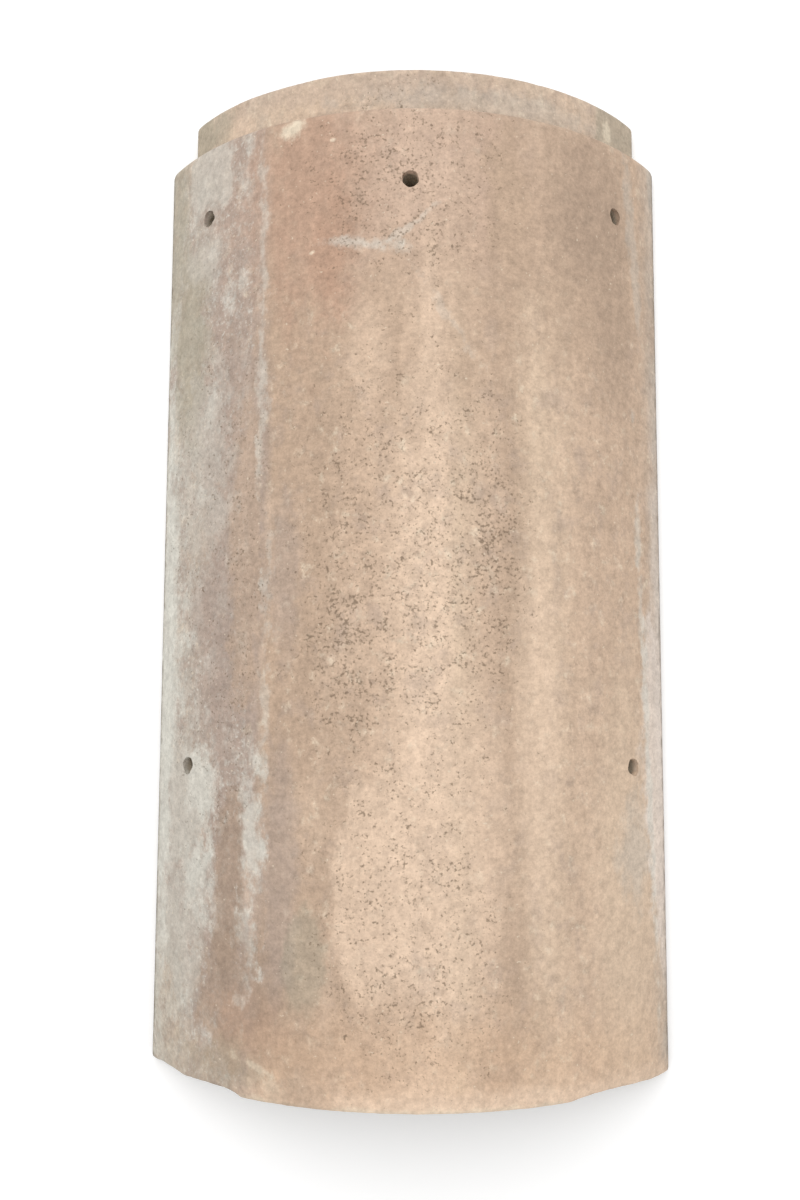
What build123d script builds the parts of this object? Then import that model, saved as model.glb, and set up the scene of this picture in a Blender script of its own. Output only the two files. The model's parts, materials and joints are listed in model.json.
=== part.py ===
from build123d import *
import math
import os

# A barrel rake tile: one piece of concrete in the shape of a shallow arch, which covers the
# sloping edge of a roof. It lies arch upwards on its two long edges. X runs across it, Y along
# it with the head at +Y, and Z upwards from the bearing edges. The origin is at the middle of
# its length and width, on the bearing plane.

# The whole tile, in millimetres
tile_length = 432.0
tile_width = 228.0
tile_rise = 65.0
wall_thickness = 16.0
edge_land = 5.0  # height of the upright face at the foot of each long edge

# The joint: the head's collar is lowered on the outside, and the tail's socket laps over it
collar_length = 21.0
collar_step = 7.5
joint_clearance = 0.8  # between a collar and the socket that laps it, all round
joint_end_gap = 2.0  # how much deeper the socket is than the collar is long

# The nail holes, each drilled square to the curved face
nail_hole_diameter = 6.5
crown_hole_from_head = 53.5
upper_holes_from_head = 55.0
upper_holes_from_edge = 34.0  # measured round the curve from the top of the edge's land
lower_holes_from_tail = 132.5
lower_holes_from_edge = 27.0

# Roundings left by the mould and by handling
land_rounding = 6.0  # where the curved face turns down into the land
foot_rounding = 2.0  # outer and inner arris of each bearing edge
collar_root_rounding = 2.0  # in the corner where the collar meets the shoulder
shoulder_rounding = 3.0  # outer arris of the shoulder
end_rounding = 1.5  # both arrises of the tail and of the head

# The outside is an arc through the crown and the tops of both lands
half_width = tile_width / 2
arc_rise = tile_rise - edge_land
outer_radius = (half_width**2 + arc_rise**2) / (2 * arc_rise)
arc_centre_height = tile_rise - outer_radius
inner_radius = outer_radius - wall_thickness
collar_radius = outer_radius - collar_step
socket_radius = collar_radius + joint_clearance

# Stations along the tile
head_y = tile_length / 2
tail_y = -tile_length / 2
shoulder_y = head_y - collar_length
socket_depth = collar_length + joint_end_gap

# Each nail hole's turn about the arc centre, from the crown, and its station
land_turn = math.atan2(half_width, edge_land - arc_centre_height)
upper_turn = land_turn - upper_holes_from_edge / outer_radius
lower_turn = land_turn - lower_holes_from_edge / outer_radius
nail_holes = (
    (0, head_y - crown_hole_from_head),
    (-upper_turn, head_y - upper_holes_from_head),
    (upper_turn, head_y - upper_holes_from_head),
    (-lower_turn, tail_y + lower_holes_from_tail),
    (lower_turn, tail_y + lower_holes_from_tail),
)

# Across the tile, looking from the tail towards the head
tail_plane = Plane(origin=(0, tail_y, 0), x_dir=(-1, 0, 0), z_dir=(0, 1, 0))
shoulder_plane = tail_plane.offset(shoulder_y - tail_y)


def reach_at(radius, height):
    """Half the width, at a height, of an arc drawn round the tile's arc centre."""
    return math.sqrt(radius**2 - (height - arc_centre_height) ** 2)


def under_outside(radius, plane):
    """The space under an outside arc of this radius, which ends in a land at each edge."""
    with BuildSketch(plane) as section:
        with Locations((0, arc_centre_height)):
            Circle(radius)
        Rectangle(
            2 * reach_at(radius, edge_land),
            tile_rise,
            align=(Align.CENTER, Align.MIN),
            mode=Mode.INTERSECT,
        )
    return section.sketch


def round_barrel(radius, plane):
    """The whole round of an inside arc, as a cutter for what lies under it."""
    with BuildSketch(plane) as section:
        with Locations((0, arc_centre_height)):
            Circle(radius)
    return section.sketch


with BuildPart() as barrel_rake_tile:
    # The body runs from the tail to the shoulder, and the collar on to the head, a step lower
    extrude(under_outside(outer_radius, tail_plane), amount=shoulder_y - tail_y)
    extrude(under_outside(collar_radius, shoulder_plane), amount=collar_length)

    # The arch is hollow from end to end
    extrude(round_barrel(inner_radius, tail_plane), amount=tile_length, mode=Mode.SUBTRACT)

    # The tops of the lands, where the curved outside turns upright
    land_tops = barrel_rake_tile.edges().filter_by(Axis.Y).group_by(Axis.Z)[1]
    fillet(land_tops, radius=land_rounding)

    # The shoulder: its outer arris, and then the corner at its root, where the collar starts
    for arc_from_outside, rounding in ((-1, shoulder_rounding), (-2, collar_root_rounding)):
        shoulder_face = barrel_rake_tile.faces().filter_by(Axis.Y).sort_by(Axis.Y)[-2]
        shoulder_arcs = shoulder_face.edges().filter_by(GeomType.CIRCLE).sort_by(SortBy.RADIUS)
        fillet(shoulder_arcs[arc_from_outside], radius=rounding)

    # Both sides of each bearing edge
    feet = barrel_rake_tile.edges().filter_by(Axis.Y).group_by(Axis.Z)[0]
    fillet(feet, radius=foot_rounding)

    # The socket: the inside is cut back at the tail to lap over the next tile's collar
    extrude(round_barrel(socket_radius, tail_plane), amount=socket_depth, mode=Mode.SUBTRACT)

    # Both arrises of the tail and of the head
    for end_of_tile in (0, -1):
        end_face = barrel_rake_tile.faces().filter_by(Axis.Y).sort_by(Axis.Y)[end_of_tile]
        fillet(end_face.edges(), radius=end_rounding)

    # The nail holes, one at the crown and a pair low on each side
    for turn, station in nail_holes:
        outward = Vector(math.sin(turn), 0, math.cos(turn))
        mouth = Vector(0, station, arc_centre_height) + outward * outer_radius
        with Locations(Plane(origin=mouth, z_dir=outward)):
            Hole(radius=nail_hole_diameter / 2, depth=2 * wall_thickness)

barrel_rake_tile.part.label = "barrel_rake_tile"

os.makedirs("parts", exist_ok=True)
export_step(barrel_rake_tile.part, "parts/barrel_rake_tile.step")
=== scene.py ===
import bmesh
import bpy
import json
import math
from mathutils import Matrix, Vector, noise


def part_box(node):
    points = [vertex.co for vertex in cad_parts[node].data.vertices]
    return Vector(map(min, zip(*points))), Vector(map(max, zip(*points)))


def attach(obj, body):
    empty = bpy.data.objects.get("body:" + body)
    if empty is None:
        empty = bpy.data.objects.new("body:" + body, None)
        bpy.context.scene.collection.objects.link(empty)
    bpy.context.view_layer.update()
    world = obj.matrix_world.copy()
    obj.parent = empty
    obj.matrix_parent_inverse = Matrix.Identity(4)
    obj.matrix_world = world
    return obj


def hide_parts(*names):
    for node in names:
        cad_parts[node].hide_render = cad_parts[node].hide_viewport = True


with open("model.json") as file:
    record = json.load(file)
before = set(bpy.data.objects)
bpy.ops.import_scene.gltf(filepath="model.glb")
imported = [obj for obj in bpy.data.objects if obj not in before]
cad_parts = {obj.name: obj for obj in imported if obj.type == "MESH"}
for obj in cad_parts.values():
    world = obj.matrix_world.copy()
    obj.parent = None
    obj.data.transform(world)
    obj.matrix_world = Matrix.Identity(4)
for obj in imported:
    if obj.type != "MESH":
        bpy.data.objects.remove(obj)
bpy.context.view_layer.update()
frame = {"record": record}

# A barrel rake tile: one shallow arch of pigmented concrete, weathered, with a lowered collar at
# its head (+Y), a socket at its tail and five nail holes. Places and sizes are in metres.
MM = 0.001

# The tile's sizes, from its CAD node and the dimensions it was drawn with
low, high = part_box("barrel_rake_tile")
head_y = high.y
tail_y = low.y
tile_rise = high.z
half_width = high.x
wall_thickness = 16 * MM
edge_land = 5 * MM
collar_length = 21 * MM
collar_step = 7.5 * MM
joint_clearance = 0.8 * MM
joint_end_gap = 2 * MM

# Roundings left by the mould and by handling
end_rounding = 1.5 * MM
shoulder_rounding = 3 * MM
collar_root_rounding = 2 * MM
foot_rounding = 1.2 * MM
land_easing = 1.2 * MM  # where the curved face turns down into the land

# The outside is an arc through the crown and the tops of both lands, round an axis along Y
arc_rise = tile_rise - edge_land
outer_radius = (half_width**2 + arc_rise**2) / (2 * arc_rise)
arc_centre = Vector((0, 0, tile_rise - outer_radius))
inner_radius = outer_radius - wall_thickness
collar_radius = outer_radius - collar_step
socket_radius = collar_radius + joint_clearance
shoulder_y = head_y - collar_length
socket_end_y = tail_y + collar_length + joint_end_gap

# How finely the faces are divided, for the weathering that is worked into them
rounding_segments = 3
spin_turn = math.radians(61)  # to each side of the crown, a little past both feet
spin_steps = 194
outside_spacing = 1.4 * MM
inside_spacing = 4.5 * MM
crease_angle = math.radians(50)  # what turns more sharply than this is shaded as an edge

# Directions, and how nearly an edge has to run along one to count as doing so
LENGTHWISE = Vector((0, 1, 0))
UPWARDS = Vector((0, 0, 1))
nearly_along = 0.999

# How deep under an outside a place still counts as on it, and the slack in telling a place
body_skin = 4 * MM
collar_skin = 3 * MM
hair = 0.1 * MM

# The nail holes' bore, and how rough it is
nail_hole_radius = 3.25 * MM
hole_raggedness = 0.07  # share of the bore's radius
hole_ragged_size = 2.2 * MM
mouth_flare = 0.14  # share of the bore's radius
mouth_flare_depth = 1.2 * MM
drill_length = 2.4 * wall_thickness
drill_segments = 28
drill_cuts = 40

# The unevenness of the weathered face, in mm: (depth, size round the curve, size along, seed)
FACE_WEAR = (
    (0.12, 55, 80, 3.1),  # broad sinking
    (0.02, 3.4, 60, 7.7),  # lines dragged along the mould
    (0.04, 9, 11, 1.9),  # patches
    (0.04, 3, 3.4, 5.3),  # grit
)

# How the ends crumble, in mm: coarse lumps, deeper where more is broken off, and fine ones
lump_size = (5, 4)  # round the curve, through the wall
lump_depth = 0.1
lump_share = 0.08
crumb_size = (1.7, 2)
crumb_depth = 0.1

# How far along the tile the wear of each end reaches
tail_wear_reach = 18 * MM
head_wear_reach = 9 * MM

# How far each end is worn or broken back, in mm: (place round the curve from the crown, amount)
TAIL_SET_BACK = (
    (-134, 3.4),
    (-124, 3.8),
    (-115, 3.4),
    (-107, 2.4),
    (-90, 2.4),
    (-79, 2.2),
    (-75, 1.6),
    (-71, 0),
    (68, 0),
    (80, 1.4),
    (92, 1.5),
    (104, 1.0),
    (118, 0.2),
    (134, 0),
)
HEAD_SET_BACK = (
    (-81, 0),
    (-68, 0.3),
    (-52, 0.3),
    (-40, 0),
    (117, 0),
)
collar_left_loss = 2.3 * MM  # broken off the collar's left foot


def radius_of(place):
    """Distance of a place from the arc axis."""
    return math.hypot(place.x, place.z - arc_centre.z)


def round_the_curve(place):
    """Distance from the crown, measured round the curve of the outside."""
    return outer_radius * math.atan2(place.x, place.z - arc_centre.z)


def is_outside(place):
    """Whether a place is on the weathered side: the body's or the collar's outside."""
    if place.y > shoulder_y - hair:
        return radius_of(place) > collar_radius - collar_skin
    return radius_of(place) > outer_radius - body_skin


def lengthwise_profile(mesh):
    """The wall as seen in a cut along the crown, with its roundings, as one face."""
    corners = (
        (tail_y, outer_radius, end_rounding),
        (shoulder_y, outer_radius, shoulder_rounding),
        (shoulder_y, collar_radius, collar_root_rounding),
        (head_y, collar_radius, end_rounding),
        (head_y, inner_radius, end_rounding),
        (socket_end_y, inner_radius, end_rounding),
        (socket_end_y, socket_radius, end_rounding),
        (tail_y, socket_radius, end_rounding),
    )
    places = [mesh.verts.new((0, y, arc_centre.z + radius)) for y, radius, _ in corners]
    mesh.faces.new(places)
    for place, (_, _, rounding) in zip(places, corners):
        bmesh.ops.bevel(
            mesh,
            geom=[place],
            offset=rounding,
            offset_type="OFFSET",
            segments=rounding_segments,
            profile=0.5,
            affect="VERTICES",
            material=-1,
        )


def sweep_into_arch(mesh):
    """The profile goes round the arc axis, and the bearing plane cuts both feet off level."""
    profile = mesh.verts[:] + mesh.edges[:] + mesh.faces[:]
    start = Matrix.Rotation(-spin_turn, 3, "Y")
    bmesh.ops.rotate(mesh, cent=arc_centre, matrix=start, verts=mesh.verts)
    bmesh.ops.spin(
        mesh,
        geom=profile,
        cent=arc_centre,
        axis=(0, 1, 0),
        angle=2 * spin_turn,
        steps=spin_steps,
        use_merge=False,
    )
    cut = bmesh.ops.bisect_plane(
        mesh,
        geom=mesh.verts[:] + mesh.edges[:] + mesh.faces[:],
        dist=1e-7,
        plane_co=(0, 0, 0),
        plane_no=(0, 0, -1),
        clear_outer=True,
    )
    rims = [item for item in cut["geom_cut"] if isinstance(item, bmesh.types.BMEdge)]
    bmesh.ops.edgeloop_fill(mesh, edges=rims)


def foot_easing(height):
    """How far a foot's rounded arris stands back from its side, at a height above the floor."""
    under = min(1, max(0, 1 - height / foot_rounding))
    return foot_rounding * (1 - math.sqrt(1 - under**2))


def land_set_in(outside, height, loss=0):
    """How far an outside stands in from its arc at a height, as it turns down into its land."""
    land_reach = math.sqrt(outside**2 - (edge_land - arc_centre.z) ** 2) - loss
    arc_reach = math.sqrt(max(0, outside**2 - (height - arc_centre.z) ** 2))
    past = arc_reach - land_reach
    return (past + math.hypot(past, land_easing)) / 2 + foot_easing(height)


def shape_the_feet(mesh):
    """The outside turns down into an upright land at each foot, whose arrises are rounded."""
    for vert in mesh.verts:
        side = math.copysign(1, vert.co.x)
        height = vert.co.z
        radius = radius_of(vert.co)
        inside = socket_radius if vert.co.y < socket_end_y + hair else inner_radius
        if vert.co.y < shoulder_y - hair:
            outside = outer_radius
            set_in = land_set_in(outer_radius, height)
        else:
            broken = side < 0 and vert.co.y > shoulder_y + collar_root_rounding / 2
            outside = collar_radius
            set_in = land_set_in(collar_radius, height, collar_left_loss if broken else 0)
            up_shoulder = max(0, radius - collar_radius) / collar_step
            set_in += up_shoulder * (land_set_in(outer_radius, height) - set_in)
        share = min(1, (radius - inside) / (outside - inside))
        vert.co.x += side * ((1 - share) * foot_easing(height) - share * set_in)


def divide(mesh, edges, spacing):
    """Cuts edges into equal parts no longer than the spacing, so quads become rows of quads."""
    by_parts = {}
    for edge in edges:
        parts = math.ceil(edge.calc_length() / spacing)
        by_parts.setdefault(parts, []).append(edge)
    for parts, alike in sorted(by_parts.items()):
        if parts > 1:
            bmesh.ops.subdivide_edges(mesh, edges=alike, cuts=parts - 1, use_grid_fill=True)


def edges_along(mesh, direction):
    """The edges that run nearly along a direction."""
    found = []
    for edge in mesh.edges:
        run = (edge.verts[1].co - edge.verts[0].co).normalized()
        if abs(run.dot(direction)) > nearly_along:
            found.append(edge)
    return found


def through_the_wall(place):
    """The direction from the arc axis out through a place."""
    return (place - arc_centre - Vector((0, place.y, 0))).normalized()


def build_arch():
    """The tile without its nail holes, divided finely enough to be weathered."""
    mesh = bmesh.new()
    lengthwise_profile(mesh)
    sweep_into_arch(mesh)
    outer_runs = []
    inner_runs = []
    for edge in edges_along(mesh, LENGTHWISE):
        middle = (edge.verts[0].co + edge.verts[1].co) / 2
        runs = outer_runs if is_outside(middle) else inner_runs
        runs.append(edge)
    divide(mesh, outer_runs, outside_spacing)
    divide(mesh, [edge for edge in inner_runs if edge.is_valid], inside_spacing)
    bmesh.ops.recalc_face_normals(mesh, faces=mesh.faces)
    return mesh


def nail_hole_drill(mouth, outward):
    """The space of one nail hole: ragged all the way in, and flared where it breaks out."""
    mesh = bmesh.new()
    bmesh.ops.create_cone(
        mesh,
        cap_ends=True,
        segments=drill_segments,
        radius1=nail_hole_radius,
        radius2=nail_hole_radius,
        depth=drill_length,
    )
    sides = edges_along(mesh, UPWARDS)
    bmesh.ops.subdivide_edges(mesh, edges=sides, cuts=drill_cuts)
    for vert in mesh.verts:
        sway = noise.noise(vert.co / hole_ragged_size + mouth / MM)
        flare = min(1, max(0, 1 + vert.co.z / mouth_flare_depth))
        reach = 1 + hole_raggedness * sway + mouth_flare * flare * (1 + sway)
        vert.co.x *= reach
        vert.co.y *= reach
    turn = outward.to_track_quat("Z", "Y").to_matrix()
    bmesh.ops.rotate(mesh, cent=(0, 0, 0), matrix=turn, verts=mesh.verts)
    bmesh.ops.translate(mesh, vec=mouth, verts=mesh.verts)
    drill = bpy.data.meshes.new("nail_hole_drill")
    mesh.to_mesh(drill)
    mesh.free()
    return drill


def drill_nail_holes(tile):
    """Takes the five nail holes out of the tile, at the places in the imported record."""
    drills = bmesh.new()
    for mount in frame["record"]["mounts"]:
        if mount["kind"] == "bore":
            drill = nail_hole_drill(Vector(mount["pos_m"]), Vector(mount["axis"]))
            drills.from_mesh(drill)
            bpy.data.meshes.remove(drill)
    drills_mesh = bpy.data.meshes.new("nail_hole_drills")
    drills.to_mesh(drills_mesh)
    drills.free()
    all_drills = bpy.data.objects.new("nail_hole_drills", drills_mesh)
    bpy.context.collection.objects.link(all_drills)
    cut = tile.modifiers.new("nail_holes", "BOOLEAN")
    cut.operation = "DIFFERENCE"
    cut.solver = "EXACT"
    cut.object = all_drills
    drilled = tile.evaluated_get(bpy.context.evaluated_depsgraph_get())
    undrilled = tile.data
    tile.data = bpy.data.meshes.new_from_object(drilled)
    tile.modifiers.clear()
    bpy.data.meshes.remove(undrilled)
    bpy.data.objects.remove(all_drills)
    bpy.data.meshes.remove(drills_mesh)


def along_profile(profile, place):
    """Value at a place in a list of (place, value) pairs, straight between neighbours."""
    for (start, first), (end, last) in zip(profile, profile[1:]):
        if place <= end:
            share = max(0, (place - start) / (end - start))
            return first + share * (last - first)
    return profile[-1][1]


def wear_depth(place):
    """How far the cast face has sunk or worn in at a place on the outside."""
    u = round_the_curve(place) / MM
    y = place.y / MM
    depth = 0
    for deep, size_round, size_along, seed in FACE_WEAR:
        depth += deep * (1 + noise.noise(Vector((u / size_round, y / size_along, seed))))
    return depth * MM


def set_back(vert, end_y, profile, reach):
    """Slides a vert near an end along the tile, which leaves the faces as they are."""
    from_end = abs(vert.co.y - end_y)
    if from_end > reach:
        return
    u = round_the_curve(vert.co) / MM
    out = radius_of(vert.co)
    seed = end_y * 100  # differs between the ends, so that they crumble differently
    amount = along_profile(profile, u)
    lump = noise.noise(Vector((u / lump_size[0], out / (lump_size[1] * MM), seed)))
    crumb = noise.noise(Vector((u / crumb_size[0], out / (crumb_size[1] * MM), seed / 2)))
    amount += (lump_depth + lump_share * amount) * (1 + lump) + crumb_depth * (1 + crumb)
    fade = (1 - from_end / reach) ** 2 * (1 + 2 * from_end / reach)
    vert.co.y += math.copysign(amount * MM * fade, -end_y)


def weather(mesh):
    """Wears the outside inwards and sets both ends back unevenly."""
    for vert in mesh.verts:
        set_back(vert, tail_y, TAIL_SET_BACK, tail_wear_reach)
        set_back(vert, head_y, HEAD_SET_BACK, head_wear_reach)
        if is_outside(vert.co):
            vert.co -= through_the_wall(vert.co) * wear_depth(vert.co)
        vert.co.z = max(0, vert.co.z)


def make_tile():
    """The finished mesh of the tile, standing for its CAD node."""
    mesh = build_arch()
    tile_mesh = bpy.data.meshes.new("weathered_rake_tile")
    mesh.to_mesh(tile_mesh)
    mesh.free()
    tile = bpy.data.objects.new("weathered_rake_tile", tile_mesh)
    bpy.context.collection.objects.link(tile)
    drill_nail_holes(tile)
    mesh = bmesh.new()
    mesh.from_mesh(tile.data)
    shape_the_feet(mesh)
    weather(mesh)
    bmesh.ops.recalc_face_normals(mesh, faces=mesh.faces)
    mesh.to_mesh(tile.data)
    mesh.free()
    tile.data.shade_smooth()
    tile.data.set_sharp_from_angle(angle=crease_angle)
    for face in tile.data.polygons:
        on_bearing_plane = face.center.z <= 0.01 * MM
        face.use_smooth = not on_bearing_plane
    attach(tile, "root")
    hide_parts("barrel_rake_tile")
    return tile


# The tones of the concrete, in its own words
WARM_TAN = "CCB199"
PEACH = "E2C7AE"
SAND = "D6BDA4"
BROWN_TAN = "BEA48D"
RED_BROWN = "B8957E"
ROSE_TAN = "C1A592"
DIRT_BROWN = "A68F7C"
MAUVE_GREY = "AE9B8E"
ASH_GREY = "BDB2A5"
LIME_GREY = "C8C0B4"
LIME_WHITE = "DAD7CC"
# Pale rose; on the right edge it also serves as painted highlight
ROSE_WHITE_AND_HIGHLIGHT = "E6D8CC"
OATMEAL = "CDB8A3"
OLIVE_GREY = "ADA28E"
CREAM = "EBDCC4"
APRICOT = "DCB796"
PIT_BROWN = "715F4C"
FOOT_BROWN = "74685A"
CAST_GREY = "B0A492"


# Places of the sockets on a Mix node that mixes colours, since its other kinds share the names
MIX_SHARE = 0
MIX_UNDER = 6
MIX_OVER = 7
MIX_RESULT = 2


def linear(code):
    """Blender's linear colour for an sRGB hex code."""
    shares = [int(code[i : i + 2], 16) / 255 for i in (0, 2, 4)]
    return [s / 12.92 if s <= 0.04045 else ((s + 0.055) / 1.055) ** 2.4 for s in shares] + [1]


def add(tree, kind, settings=(), links=()):
    """Adds a node, sets its properties and its inputs' values, and links its inputs."""
    node = tree.nodes.new(kind)
    for name, value in dict(settings).items():
        if isinstance(name, str) and hasattr(node, name):
            setattr(node, name, value)
        else:
            node.inputs[name].default_value = value
    for name, output in dict(links).items():
        tree.links.new(output, node.inputs[name])
    return node


def unrolled_places(tree):
    """The tile's face as if rolled out flat, in mm: (round the curve, along, out from the axis)."""
    spot = add(tree, "ShaderNodeTexCoord").outputs["Object"]
    from_axis = add(
        tree,
        "ShaderNodeVectorMath",
        {"operation": "SUBTRACT", 1: arc_centre},
        {0: spot},
    ).outputs["Vector"]
    parts = add(tree, "ShaderNodeSeparateXYZ", links={"Vector": from_axis}).outputs
    turn = add(tree, "ShaderNodeMath", {"operation": "ARCTAN2"}, {0: parts["X"], 1: parts["Z"]})
    across = add(
        tree,
        "ShaderNodeVectorMath",
        {"operation": "MULTIPLY", 1: (1, 0, 1)},
        {0: from_axis},
    ).outputs["Vector"]
    radius = add(tree, "ShaderNodeVectorMath", {"operation": "LENGTH"}, {0: across})
    flat = add(
        tree,
        "ShaderNodeCombineXYZ",
        links={"X": turn.outputs["Value"], "Y": parts["Y"], "Z": radius.outputs["Value"]},
    ).outputs["Vector"]
    to_mm = (outer_radius / MM, 1 / MM, 1 / MM)
    return add(
        tree,
        "ShaderNodeVectorMath",
        {"operation": "MULTIPLY", 1: to_mm},
        {0: flat},
    ).outputs["Vector"]


def grain(tree, places, size, stretch=1, detail=2.0, roughness=0.5, seed=0.0):
    """Noise from 0 to 1 whose features are about this many mm, drawn out lengthwise if wanted."""
    laid = add(
        tree,
        "ShaderNodeMapping",
        {"Location": (seed, seed, 0), "Scale": (1, 1 / stretch, 1)},
        {"Vector": places},
    ).outputs["Vector"]
    return add(
        tree,
        "ShaderNodeTexNoise",
        {"Scale": 1 / size, "Detail": detail, "Roughness": roughness},
        {"Vector": laid},
    ).outputs["Fac"]


def swayed(tree, places, size, amount, stretch=1.0):
    """The places pushed about by noise, so that what is laid on them has a natural outline."""
    pushes = {}
    for way, seed in (("X", 0), ("Y", 29)):
        sway = grain(tree, places, size, stretch, detail=4, roughness=0.6, seed=seed)
        pushes[way] = add(
            tree,
            "ShaderNodeMath",
            {"operation": "MULTIPLY_ADD", 1: amount, 2: -amount / 2},
            {0: sway},
        ).outputs["Value"]
    pushed = add(tree, "ShaderNodeCombineXYZ", links=pushes).outputs["Vector"]
    return add(
        tree,
        "ShaderNodeVectorMath",
        {"operation": "ADD"},
        {0: places, 1: pushed},
    ).outputs["Vector"]


def from_centre(tree, places, fray, centre, half_size, tilt=0, broken=1.0):
    """Distance from an oval's centre, 1 at its outline, made uneven by the fray noise."""
    turn = math.radians(tilt)
    across = Vector((math.cos(turn), math.sin(turn), 0)) / half_size[0]
    along = Vector((-math.sin(turn), math.cos(turn), 0)) / half_size[1]
    offset = add(
        tree,
        "ShaderNodeVectorMath",
        {"operation": "SUBTRACT", 1: (*centre, 0)},
        {0: places},
    ).outputs["Vector"]
    shares = {}
    for way, axis in (("X", across), ("Y", along)):
        shares[way] = add(
            tree,
            "ShaderNodeVectorMath",
            {"operation": "DOT_PRODUCT", 1: axis},
            {0: offset},
        ).outputs["Value"]
    share = add(tree, "ShaderNodeCombineXYZ", links=shares).outputs["Vector"]
    reach = add(tree, "ShaderNodeVectorMath", {"operation": "LENGTH"}, {0: share}).outputs["Value"]
    return add(
        tree,
        "ShaderNodeMath",
        {"operation": "MULTIPLY_ADD", 1: broken},
        {0: fray, 2: reach},
    ).outputs["Value"]


def lay(tree, colour, tone, value, none_at, full_at, strength):
    """Lays a tone over a colour, from where a value is at none_at to where it is at full_at."""
    share = add(
        tree,
        "ShaderNodeMapRange",
        {
            "interpolation_type": "SMOOTHSTEP",
            "From Min": none_at,
            "From Max": full_at,
            "To Max": strength,
        },
        {"Value": value},
    ).outputs["Result"]
    return add(
        tree,
        "ShaderNodeMix",
        {"data_type": "RGBA", MIX_OVER: linear(tone)},
        {MIX_SHARE: share, MIX_UNDER: colour},
    ).outputs[MIX_RESULT]


def mottled(tree, colour, value, amount):
    """A colour made darker and paler by noise, by up to this share."""
    factor = add(
        tree,
        "ShaderNodeMapRange",
        {"From Min": 0.25, "From Max": 0.75, "To Min": 1 - amount, "To Max": 1 + amount},
        {"Value": value},
    ).outputs["Result"]
    return add(
        tree,
        "ShaderNodeHueSaturation",
        links={"Color": colour, "Value": factor},
    ).outputs["Color"]


# Where the colour of the body ends and the collar's begins, in mm along the tile
COLLAR_FROM = 193.5
COLLAR_WASHED_FROM = 194.5
COLLAR_WHOLE_FROM = 195.5
BODY_UNTIL = 194.0

# Lime bloom fades out between these two places, in mm round the curve, as its noise is held back
BLOOM_WHOLE_UNTIL = -72
BLOOM_UNTIL = -60
BLOOM_HELD_BACK = -0.5

# The pits: how much they crowd into clusters, and where a pitted place, 1 at its outline, is
# at its fullest and ends
PIT_CLUSTERING = 0.26
PITTED_FULLY_UNTIL = 0.5
PITTED_UNTIL = 1.4

# The darkening along the feet, in mm round the curve: where it starts and is whole, and how ragged it
# is
FOOT_DARK_FROM = 135
FOOT_DARK_WHOLE_FROM = 139
FOOT_DARK_RAGGEDNESS = 9.0

# How deep under the weathered face the plain grey concrete starts to show and is whole, in mm
GREY_FROM = 1.5
GREY_WHOLE_FROM = 4

# The relief too fine to model: its depth, and how much deeper the pits are than the sand
RELIEF_DEPTH = 0.2 * MM
PIT_RELIEF = -1.2

# The pigment across the face, left to right: (mm round the curve from the crown, tone)
ACROSS = (
    (-134, LIME_WHITE),
    (-121, LIME_GREY),
    (-106, ASH_GREY),
    (-90, MAUVE_GREY),
    (-67, MAUVE_GREY),
    (-61, BROWN_TAN),
    (-36, BROWN_TAN),
    (-16, WARM_TAN),
    (2, PEACH),
    (14, PEACH),
    (20, SAND),
    (31, WARM_TAN),
    (41, BROWN_TAN),
    (56, SAND),
    (78, WARM_TAN),
    (98, WARM_TAN),
    (116, WARM_TAN),
    (134, ASH_GREY),
)
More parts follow.
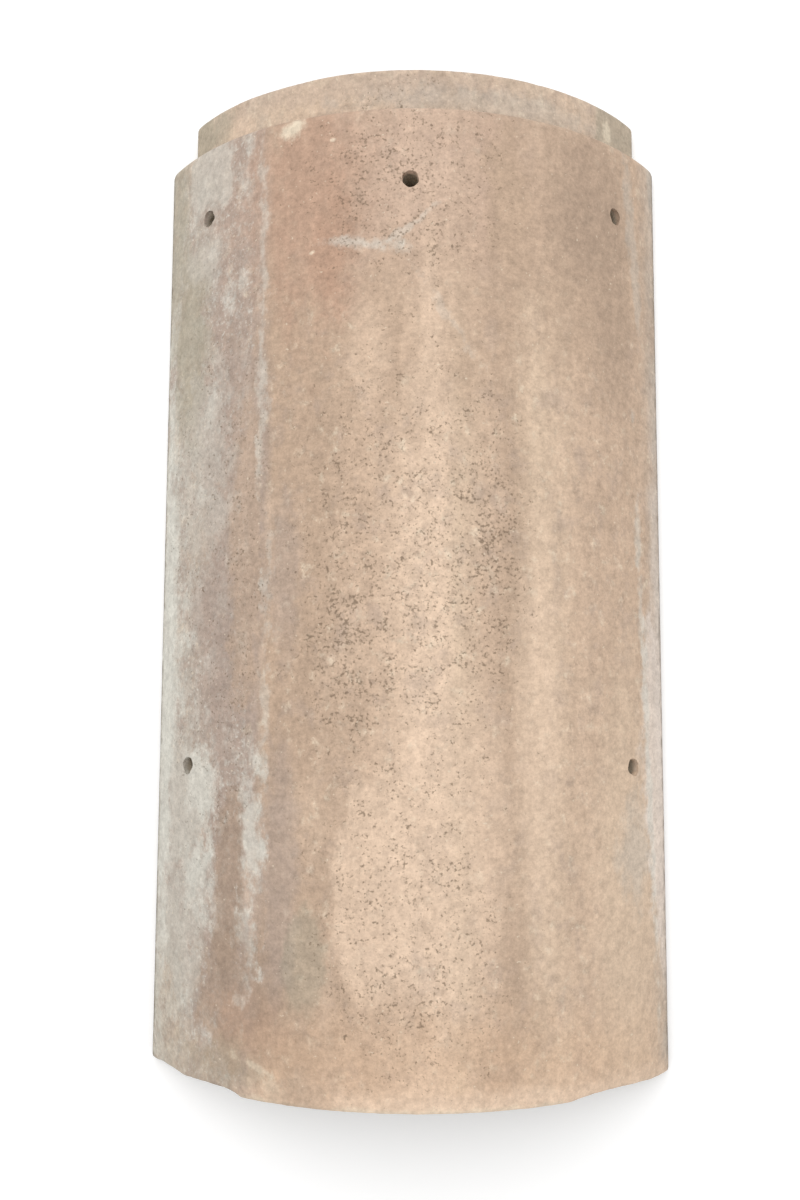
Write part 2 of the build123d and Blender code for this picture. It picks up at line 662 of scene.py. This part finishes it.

# Stains, bloom, worn places, a dark strip along the left foot and a painted highlight on the body, in
# mm:
# (tone, centre, half size, tilt in degrees, how broken up, softness, strength)
BODY_MARKS = (
    (ROSE_TAN, (0, 165), (80, 50), 0, 1.6, 0.5, 0.6),
    (BROWN_TAN, (80, 145), (40, 60), 0, 1.6, 0.5, 0.75),
    (DIRT_BROWN, (86, 158), (22, 34), 0, 1.6, 0.5, 0.5),
    (DIRT_BROWN, (100, 96), (14, 30), 0, 1.6, 0.5, 0.4),
    (BROWN_TAN, (12, 105), (24, 40), 0, 1.2, 0.5, 0.5),
    (BROWN_TAN, (-10, 100), (10, 34), 0, 1.6, 0.5, 0.65),
    (BROWN_TAN, (43, 152), (9, 38), 0, 2.0, 0.5, 0.98),
    (PEACH, (8, 96), (4, 42), 0, 3.0, 0.6, 0.45),
    (RED_BROWN, (-44, 160), (22, 54), 0, 2.4, 0.7, 0.65),
    (RED_BROWN, (-34, 136), (7, 26), 0, 2.4, 0.8, 0.7),
    (OLIVE_GREY, (-128, 160), (13, 56), 0, 1.8, 0.5, 0.7),
    (OLIVE_GREY, (-112, 106), (13, 44), 0, 2.2, 0.4, 0.75),
    (LIME_GREY, (-100, 180), (16, 18), 0, 2.8, 0.3, 0.75),
    (LIME_GREY, (-104, 143), (12, 10), 0, 2.8, 0.4, 0.6),
    (PEACH, (-18, 88), (8, 20), 0, 2.2, 0.4, 0.4),
    (PEACH, (-14, -130), (17, 44), 0, 1.0, 0.15, 0.7),
    (PEACH, (24, -110), (20, 58), 0, 1.2, 0.5, 0.5),
    (PEACH, (55, -70), (9, 75), 0, 1.2, 0.6, 0.6),
    (SAND, (104, -140), (24, 90), 0, 1.4, 0.5, 0.95),
    (BROWN_TAN, (44, -160), (5, 30), 0, 1.8, 0.5, 0.45),
    (MAUVE_GREY, (-86, -10), (12, 80), 0, 2.4, 0.3, 0.65),
    (MAUVE_GREY, (-73, 50), (9, 40), 0, 2.4, 0.4, 0.55),
    (MAUVE_GREY, (-99, -14), (8, 14), 0, 2.4, 0.4, 0.6),
    (BROWN_TAN, (-73, 8), (9, 66), 0, 2.4, 0.3, 0.6),
    (MAUVE_GREY, (-54, -5), (7, 34), 0, 2.4, 0.5, 0.5),
    (MAUVE_GREY, (-81, 88), (9, 18), 0, 2.4, 0.4, 0.6),
    (LIME_GREY, (-98, 46), (16, 44), 0, 4.0, 0.3, 0.45),
    (DIRT_BROWN, (-79, -132), (9, 40), 0, 1.8, 0.25, 0.75),
    (DIRT_BROWN, (-72, -176), (27, 26), 0, 2.6, 0.25, 0.7),
    (RED_BROWN, (-66, -187), (17, 13), 0, 4.0, 0.6, 0.35),
    (MAUVE_GREY, (-54, -125), (8, 50), 0, 1.6, 0.4, 0.6),
    (OLIVE_GREY, (-42, -160), (9, 22), 0, 1.2, 0.25, 0.5),
    (BROWN_TAN, (-10, -192), (50, 11), 0, 1.8, 0.3, 0.35),
    (BROWN_TAN, (-1, -178), (9, 12), 0, 1.8, 0.4, 0.5),
    (LIME_GREY, (108, -120), (10, 20), 0, 2.4, 0.5, 0.45),
    # The pale rose band along the right edge is partly its own pale tone and partly painted highlight,
    # lighter where the face turns down away from the lamp
    (ROSE_WHITE_AND_HIGHLIGHT, (129, -96), (13, 74), 4, 2.0, 0.3, 0.75),
    (ROSE_WHITE_AND_HIGHLIGHT, (132, -10), (8, 76), 0, 2.0, 0.5, 0.42),
    # A dark brown strip along the left foot
    (PIT_BROWN, (-134, -115), (2.4, 90), 0, 6.0, 0.5, 0.7),
    (OLIVE_GREY, (-122, -195), (16, 44), 0, 1.8, 0.5, 0.3),
    (APRICOT, (20, -206), (110, 26), 0, 1.6, 0.6, 0.3),
    (LIME_GREY, (-109, -98), (17, 30), 16, 3.6, 0.2, 0.85),
    (LIME_GREY, (-110, -150), (15, 34), 0, 3.6, 0.25, 0.6),
    (LIME_WHITE, (-97, -90), (10, 14), 30, 4.0, 0.4, 0.6),
    (LIME_WHITE, (-97, -130), (8, 14), 0, 4.0, 0.5, 0.6),
    (LIME_WHITE, (-128, -50), (9, 110), 0, 1.8, 0.4, 0.8),
    (LIME_WHITE, (-67, -116), (4.4, 26), 0, 7.0, 0.7, 0.6),
    (LIME_WHITE, (-69, -148), (3.4, 20), 0, 9.0, 0.8, 0.35),
    (OLIVE_GREY, (-84, -206), (20, 11), 0, 3.0, 0.5, 0.45),
    (LIME_WHITE, (-66, 112), (1.6, 46), 0, 11.0, 1.0, 0.42),
    (LIME_WHITE, (-62, -60), (1.6, 44), 0, 12.0, 1.0, 0.3),
    (LIME_WHITE, (118, -70), (2.2, 90), 3, 5.0, 0.7, 0.5),
    (LIME_GREY, (113, 150), (4, 36), 8, 4.0, 0.5, 0.4),
    (LIME_WHITE, (-20, 135), (12, 2.2), -6, 5.0, 0.8, 0.5),
    (LIME_WHITE, (-2, 141), (13, 1.2), 40, 5.0, 0.6, 0.35),
    (LIME_WHITE, (16, 104), (1.4, 16), 34, 8.0, 0.8, 0.2),
    (CREAM, (-54, 190), (5.5, 3.2), 24, 6.0, 0.8, 0.85),
    (CREAM, (-33, 182), (0.9, 0.8), 0, 3.0, 0.6, 0.6),
    (CREAM, (-42, 133), (1.3, 0.8), 0, 4.0, 0.6, 0.6),
    (CREAM, (-62, -203), (7, 1.0), -20, 8.0, 0.8, 0.4),
    (CREAM, (-54, -210), (6, 4), 0, 8.0, 0.8, 0.4),
    (PEACH, (40, -216), (100, 8), 0, 1.6, 0.6, 0.9),
    (CREAM, (0, -217), (134, 2.6), 0, 1.6, 0.6, 0.5),
    (BROWN_TAN, (-43, -212), (11, 9), 0, 3.0, 0.5, 0.7),
)

# The same on the collar, which the next tile up kept from the weather
COLLAR_STAINS = (
    (OLIVE_GREY, (-124, 205), (18, 24), 0, 1.4, 0.2, 0.8),
    (OLIVE_GREY, (-100, 207), (9, 9), 0, 2.4, 0.5, 0.6),
    (PEACH, (-88, 203), (10, 6), 0, 2.4, 0.5, 0.5),
    (SAND, (-50, 206), (30, 7), 0, 2.4, 0.5, 0.6),
    (MAUVE_GREY, (-10, 208), (70, 5), 0, 5.0, 0.5, 0.35),
    (ASH_GREY, (40, 202), (60, 6), 0, 3.0, 0.5, 0.45),
    (OLIVE_GREY, (122, 205), (26, 50), 0, 0.2, 0.05, 0.6),
    (CREAM, (104, 205), (2.6, 5), 0, 4.0, 0.5, 0.6),
)

# Where the face has lost its skin: (centre, half size, how much more it has pitted there), in mm
PITTED_PLACES = (
    ((-8, 0), (70, 200), 0.1),
    ((0, 4), (50, 88), 0.1),
    ((0, 170), (54, 50), 0.13),
    ((2, -155), (50, 64), 0.1),
    ((14, -185), (34, 34), 0.03),
    ((38, 0), (13, 75), 0.05),
    ((-30, -50), (18, 40), 0.05),
    ((-3, 169), (7, 8), 0.04),
    ((-98, 0), (34, 190), 0.14),
)


def pigment(tree, places):
    """The colour of the face before it weathered, in bands along the tile."""
    drawn_out = swayed(tree, places, size=14, amount=13, stretch=5)
    part = add(tree, "ShaderNodeSeparateXYZ", links={"Vector": drawn_out}).outputs["X"]
    left, right = ACROSS[0][0], ACROSS[-1][0]
    share = add(
        tree,
        "ShaderNodeMapRange",
        {"From Min": left, "From Max": right},
        {"Value": part},
    ).outputs["Result"]
    ramp = add(tree, "ShaderNodeValToRGB", links={"Fac": share})
    stops = ramp.color_ramp.elements
    stops.remove(stops[1])
    for number, (place, tone) in enumerate(ACROSS):
        stop = stops[0] if number == 0 else stops.new(1)
        stop.position = (place - left) / (right - left)
        stop.color = linear(tone)
    return ramp.outputs["Color"]


def clouded(tree, colour, places):
    """Darker and paler clouds, from a palm to a fingertip across, of lime, dirt and wear."""
    for tone, size, stretch, seed, none_at, full_at, strength in (
        (BROWN_TAN, 30, 2.2, 11, 0.5, 0.68, 0.5),
        (PEACH, 24, 3, 23, 0.52, 0.7, 0.4),
        (MAUVE_GREY, 10, 1.3, 31, 0.5, 0.68, 0.35),
        (CREAM, 6, 1.2, 47, 0.54, 0.74, 0.55),
        (DIRT_BROWN, 4, 1, 53, 0.54, 0.72, 0.5),
    ):
        cloud = grain(tree, places, size, stretch, detail=5, roughness=0.66, seed=seed)
        colour = lay(tree, colour, tone, cloud, none_at, full_at, strength)
    return colour


def bloomed(tree, colour, places):
    """Lime bloom, a thin white deposit that comes out of the concrete, on the left third."""
    part = add(tree, "ShaderNodeSeparateXYZ", links={"Vector": places}).outputs["X"]
    side = add(
        tree,
        "ShaderNodeMapRange",
        {"From Min": BLOOM_WHOLE_UNTIL, "From Max": BLOOM_UNTIL, "To Max": BLOOM_HELD_BACK},
        {"Value": part},
    ).outputs["Result"]
    for tone, size, stretch, seed, none_at, full_at, strength in (
        (LIME_WHITE, 14, 1.6, 71, 0.48, 0.64, 0.55),
        (MAUVE_GREY, 8, 1.6, 83, 0.48, 0.62, 0.75),
        (LIME_WHITE, 4, 1.3, 97, 0.53, 0.68, 0.5),
        (DIRT_BROWN, 3, 1.2, 89, 0.56, 0.7, 0.5),
        (LIME_WHITE, 1.8, 1, 101, 0.54, 0.68, 0.65),
        (DIRT_BROWN, 1.5, 1, 103, 0.56, 0.7, 0.7),
    ):
        deposit = grain(tree, places, size, stretch, detail=6, roughness=0.7, seed=seed)
        deposit = add(
            tree,
            "ShaderNodeMath",
            {"operation": "ADD"},
            {0: deposit, 1: side},
        ).outputs["Value"]
        colour = lay(tree, colour, tone, deposit, none_at, full_at, strength)
    return colour


def with_marks(tree, colour, marks, places, fray):
    """A colour with each mark of a table laid over it in turn: stains, and on the body also a painted
    highlight.
    """
    for tone, centre, half_size, tilt, broken, soft, strength in marks:
        reach = from_centre(tree, places, fray, centre, half_size, tilt, broken)
        colour = lay(tree, colour, tone, reach, 1 + soft, 1 - soft, strength)
    return colour


def frayed(tree, places):
    """Noise from -0.5 to 0.5 that breaks up the outlines of stains and pitted places."""
    fray = grain(tree, places, size=9, stretch=1.6, detail=6, roughness=0.7, seed=37)
    return add(
        tree,
        "ShaderNodeMath",
        {"operation": "SUBTRACT", 1: 0.5},
        {0: fray},
    ).outputs["Value"]


def with_collar(tree, body, places, along, ragged, fray):
    """The body's colour as far as the shoulder, and on the collar its own cleaner, greyer one."""
    collar = lay(tree, body, OATMEAL, along, COLLAR_FROM, COLLAR_WASHED_FROM, strength=0.85)
    collar = clouded(tree, collar, places)
    collar = with_marks(tree, collar, COLLAR_STAINS, ragged, fray)
    on_collar = add(
        tree,
        "ShaderNodeMapRange",
        {"From Min": COLLAR_FROM, "From Max": COLLAR_WHOLE_FROM},
        {"Value": along},
    ).outputs["Result"]
    return add(
        tree,
        "ShaderNodeMix",
        {"data_type": "RGBA"},
        {MIX_SHARE: on_collar, MIX_UNDER: body, MIX_OVER: collar},
    ).outputs[MIX_RESULT]


def pits(tree, places, fray):
    """How pitted the face is: noise with marks about a millimetre across, near 1 in the pits."""
    value = grain(tree, places, size=1.35, detail=3, roughness=0.58, seed=67)
    cluster = grain(tree, places, size=7, detail=1, seed=61)
    value = add(
        tree,
        "ShaderNodeMath",
        {"operation": "MULTIPLY_ADD", 1: PIT_CLUSTERING},
        {0: cluster, 2: value},
    ).outputs["Value"]
    for centre, half_size, amount in PITTED_PLACES:
        reach = from_centre(tree, places, fray, centre, half_size)
        crowd = add(
            tree,
            "ShaderNodeMapRange",
            {
                "interpolation_type": "SMOOTHSTEP",
                "From Min": PITTED_FULLY_UNTIL,
                "From Max": PITTED_UNTIL,
                "To Min": amount,
                "To Max": 0,
            },
            {"Value": reach},
        ).outputs["Result"]
        value = add(
            tree,
            "ShaderNodeMath",
            {"operation": "ADD"},
            {0: value, 1: crowd},
        ).outputs["Value"]
    return value


def darkened_feet(tree, colour, places, across):
    """Darker brown over both long edges towards the feet, with a ragged upper limit."""
    foot_unevenness = grain(tree, places, size=3, stretch=2, detail=4, seed=5)
    foot = add(tree, "ShaderNodeMath", {"operation": "ABSOLUTE"}, {0: across}).outputs["Value"]
    foot = add(
        tree,
        "ShaderNodeMath",
        {"operation": "MULTIPLY_ADD", 1: FOOT_DARK_RAGGEDNESS},
        {0: foot_unevenness, 2: foot},
    ).outputs["Value"]
    return lay(tree, colour, FOOT_BROWN, foot, FOOT_DARK_FROM, FOOT_DARK_WHOLE_FROM, strength=0.65)


def grey_inside(tree, colour, along, out):
    """Plain grey concrete under the weathered face: the hollow, the ends and the bores."""
    on_body = add(
        tree,
        "ShaderNodeMath",
        {"operation": "LESS_THAN", 1: BODY_UNTIL},
        {0: along},
    ).outputs["Value"]
    outside = add(
        tree,
        "ShaderNodeMath",
        {"operation": "MULTIPLY_ADD", 1: collar_step / MM, 2: collar_radius / MM},
        {0: on_body},
    ).outputs["Value"]
    depth = add(
        tree,
        "ShaderNodeMath",
        {"operation": "SUBTRACT"},
        {0: outside, 1: out},
    ).outputs["Value"]
    return lay(tree, colour, CAST_GREY, depth, GREY_FROM, GREY_WHOLE_FROM, strength=1.0)


def dry_cast_concrete():
    """Pigmented concrete cast dry in a mould and weathered: matt, sandy, streaked lengthwise."""
    material = bpy.data.materials.new("pigmented_concrete_dry_cast")
    material.use_nodes = True
    tree = material.node_tree
    shader = tree.nodes["Principled BSDF"]
    places = unrolled_places(tree)
    ragged = swayed(tree, places, size=14, amount=8)
    parts = add(tree, "ShaderNodeSeparateXYZ", links={"Vector": places}).outputs
    across, along, out = parts["X"], parts["Y"], parts["Z"]
    fray = frayed(tree, places)

    colour = pigment(tree, places)
    colour = clouded(tree, colour, places)
    colour = bloomed(tree, colour, places)
    colour = with_marks(tree, colour, BODY_MARKS, ragged, fray)
    colour = with_collar(tree, colour, places, along, ragged, fray)

    # Faint streaks from the mould, and the sand in the face. Real sand is under a millimetre,
    # too fine to show from the camera, so its grain is drawn coarser, at two sizes
    streaks = grain(tree, places, size=6, stretch=14, detail=4)
    colour = mottled(tree, colour, streaks, amount=0.05)
    patches = grain(tree, places, size=7, detail=4, roughness=0.7, seed=15)
    colour = mottled(tree, colour, patches, amount=0.1)
    sand = grain(tree, places, size=2.4, detail=3, roughness=0.75, seed=9)
    colour = mottled(tree, colour, sand, amount=0.22)

    # Pale grains, and dark pits where grains have fallen out
    pale = grain(tree, places, size=1.6, detail=1, seed=91)
    colour = lay(tree, colour, CREAM, pale, none_at=0.72, full_at=0.8, strength=0.5)
    pitted = pits(tree, places, fray)
    colour = lay(tree, colour, PIT_BROWN, pitted, none_at=0.87, full_at=1.03, strength=0.7)

    # Darker brown along both long edges, towards the feet
    colour = darkened_feet(tree, colour, places, across)
    colour = grey_inside(tree, colour, along, out)

    # The pits and the sand catch the light as relief, the pits as hollows
    relief = add(
        tree,
        "ShaderNodeMath",
        {"operation": "MULTIPLY_ADD", 1: PIT_RELIEF},
        {0: pitted, 2: sand},
    ).outputs["Value"]
    bump = add(tree, "ShaderNodeBump", {"Strength": 1.0, "Distance": RELIEF_DEPTH}, {"Height": relief})
    tree.links.new(colour, shader.inputs["Base Color"])
    tree.links.new(bump.outputs["Normal"], shader.inputs["Normal"])
    shader.inputs["Roughness"].default_value = 0.92
    shader.inputs["IOR"].default_value = 1.5
    return material


# The floor is a real pale grey for the light, and white for the camera
floor_half_size = 6
floor_grey = (0.8, 0.8, 0.8, 1)
floor_as_seen = (1.12, 1.12, 1.12, 1)

# Daylight from all round, and the lamp
daylight = 0.8
lamp_power = 9
lamp_size = 1.2
lamp_place = (-0.15, 0.7, 1.5)

# The camera that was fitted to the photograph, with its turns in radians
camera_sensor = 36
camera_lens = 34.46
camera_place = (6.34 * MM, -62.28 * MM, 526.96 * MM)
camera_turns = (("X", 0.1012), ("Y", 0.0214), ("Z", 0.0020))


def make_floor():
    """A pale floor that the camera sees as white, with the tile's shadow on it."""
    mesh = bmesh.new()
    bmesh.ops.create_grid(mesh, x_segments=1, y_segments=1, size=floor_half_size)
    floor_mesh = bpy.data.meshes.new("floor")
    mesh.to_mesh(floor_mesh)
    mesh.free()
    floor = bpy.data.objects.new("floor", floor_mesh)
    bpy.context.collection.objects.link(floor)
    material = bpy.data.materials.new("matt_white_floor")
    material.use_nodes = True
    tree = material.node_tree
    tree.nodes.remove(tree.nodes["Principled BSDF"])
    seen = add(tree, "ShaderNodeLightPath").outputs["Is Camera Ray"]
    pale = add(
        tree,
        "ShaderNodeMix",
        {"data_type": "RGBA", MIX_UNDER: floor_grey, MIX_OVER: floor_as_seen},
        {MIX_SHARE: seen},
    ).outputs[MIX_RESULT]
    surface = add(tree, "ShaderNodeBsdfDiffuse", links={"Color": pale})
    tree.links.new(surface.outputs["BSDF"], tree.nodes["Material Output"].inputs["Surface"])
    floor.data.materials.append(material)


def make_light():
    """Soft light from all round, and a broad lamp over the head that brings out the relief."""
    world = bpy.data.worlds.new("soft_daylight")
    bpy.context.scene.world = world
    world.use_nodes = True
    backdrop = world.node_tree.nodes["Background"]
    backdrop.inputs["Color"].default_value = (1, 1, 1, 1)
    backdrop.inputs["Strength"].default_value = daylight
    lamp_data = bpy.data.lights.new("broad_lamp", "AREA")
    lamp_data.shape = "SQUARE"
    lamp_data.size = lamp_size
    lamp_data.energy = lamp_power
    lamp = bpy.data.objects.new("broad_lamp", lamp_data)
    bpy.context.collection.objects.link(lamp)
    lamp.location = lamp_place
    lamp.rotation_euler = (-lamp.location).to_track_quat("-Z", "Y").to_euler()


def make_camera():
    """The photograph's view, from above the tile and a little towards its tail."""
    camera_data = bpy.data.cameras.new("camera")
    camera_data.sensor_width = camera_sensor
    camera_data.lens = camera_lens
    camera_data.clip_start = 0.01
    camera = bpy.data.objects.new("camera", camera_data)
    bpy.context.collection.objects.link(camera)
    pose = Matrix.Translation(camera_place)
    for axis, turn in camera_turns:
        pose = pose @ Matrix.Rotation(turn, 4, axis)
    camera.matrix_world = pose
    bpy.context.scene.camera = camera


tile = make_tile()
tile.data.materials.clear()
tile.data.materials.append(dry_cast_concrete())
make_floor()
make_light()
make_camera()
bpy.context.scene.view_settings.view_transform = "Standard"
